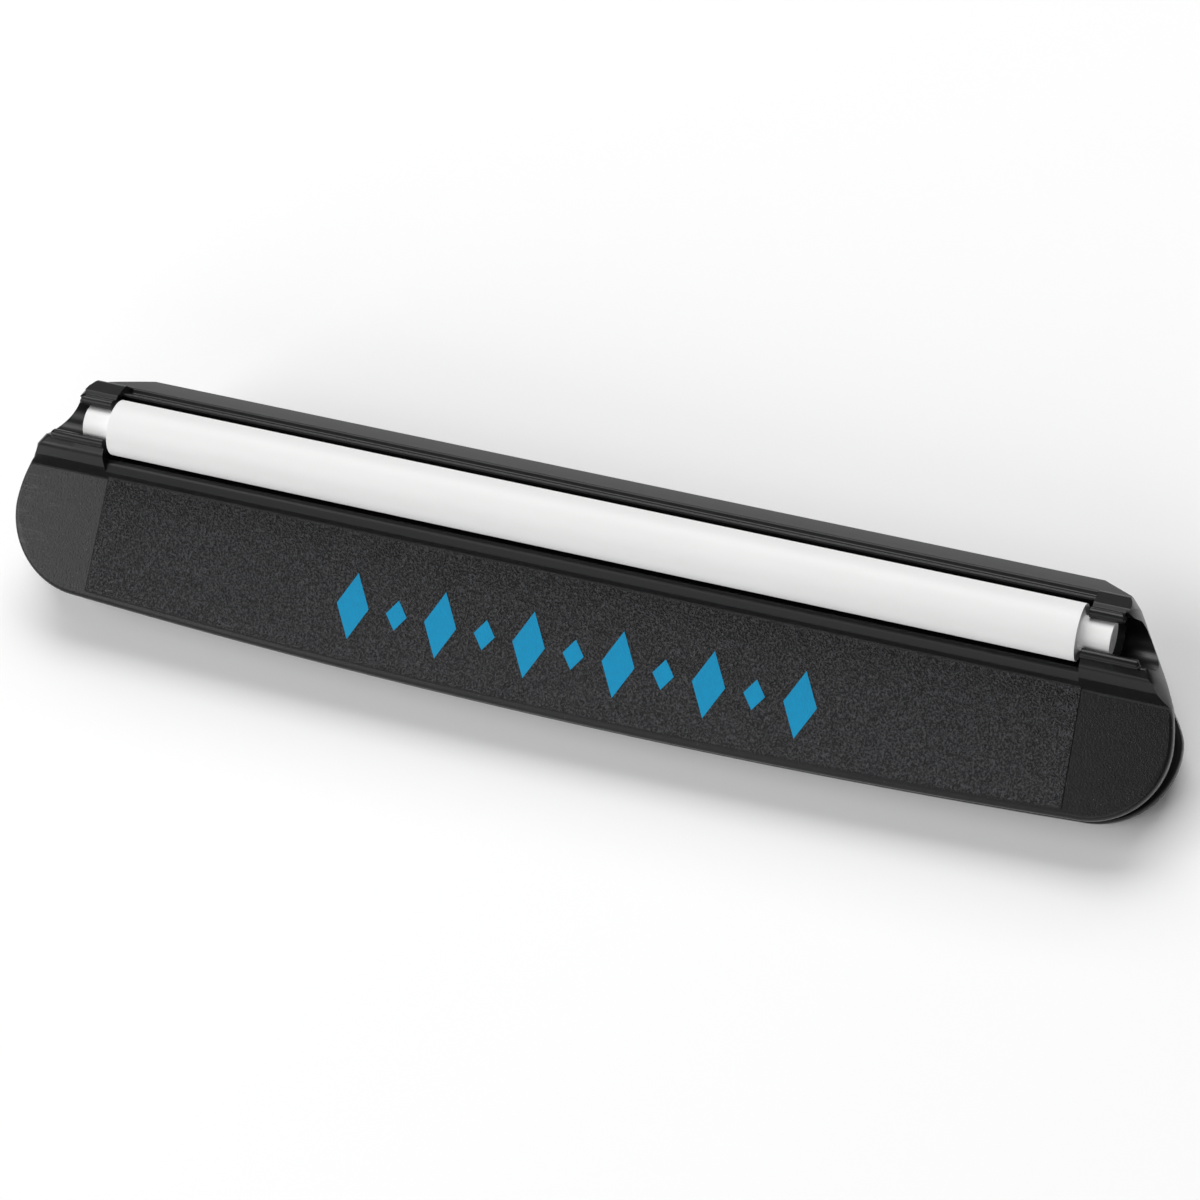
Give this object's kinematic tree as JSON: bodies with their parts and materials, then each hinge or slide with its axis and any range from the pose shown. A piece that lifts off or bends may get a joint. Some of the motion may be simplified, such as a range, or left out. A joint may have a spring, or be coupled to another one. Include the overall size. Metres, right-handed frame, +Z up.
{
  "type": "clip-on knife sharpening angle guide",
  "caption": "Black clip-on angle guide for sharpening a knife on a whetstone, with two sprung jaws and a white ceramic rod along each jaw.",
  "frame": {"origin": "centre of the bounding box at the lowest point, which is the plane the guide rests on", "axes": "+X along the guide's length, +Y towards the hinged crest, +Z up out of the front jaw as the guide lies on its rear rod and rear jaw's edge"},
  "size_m": [0.12, 0.0246, 0.019],
  "materials": {
    "black_plastic": "grained panel, smooth end patches",
    "white_ceramic": "ground, unglazed",
    "spring_steel": "bright rolled",
    "grip_rubber": "matt"
  },
  "bodies": {
    "rear_half": {"rear_jaw": "black_plastic", "rear_grip_pad": "grip_rubber", "hinge_pin": "spring_steel", "left_spring_clip": "spring_steel", "right_spring_clip": "spring_steel"},
    "front_half": {"front_jaw": "black_plastic", "front_grip_pad": "grip_rubber"},
    "front_rod": {"front_ceramic_rod": "white_ceramic"},
    "rear_rod": {"rear_ceramic_rod": "white_ceramic"}
  },
  "joints": [
    {"name": "jaw_hinge", "type": "hinge", "parent": "rear_half", "child": "front_half", "pos_m": [0, 0.00923, 0.01078], "axis": [-1, 0, 0], "range_deg": [0, 9], "stiffness_Nm_per_rad": 0.2, "springref_deg": -20.05, "deforming": ["left_spring_clip", "right_spring_clip"]},
    {"name": "front_rod_spin", "type": "hinge", "parent": "front_half", "child": "front_rod", "pos_m": [0, 0.00332, 0.01618], "axis": [1, 0, 0], "continuous": true},
    {"name": "rear_rod_spin", "type": "hinge", "parent": "rear_half", "child": "rear_rod", "pos_m": [0, 0.00864, 0.0028], "axis": [1, 0, 0], "continuous": true}
  ]
}
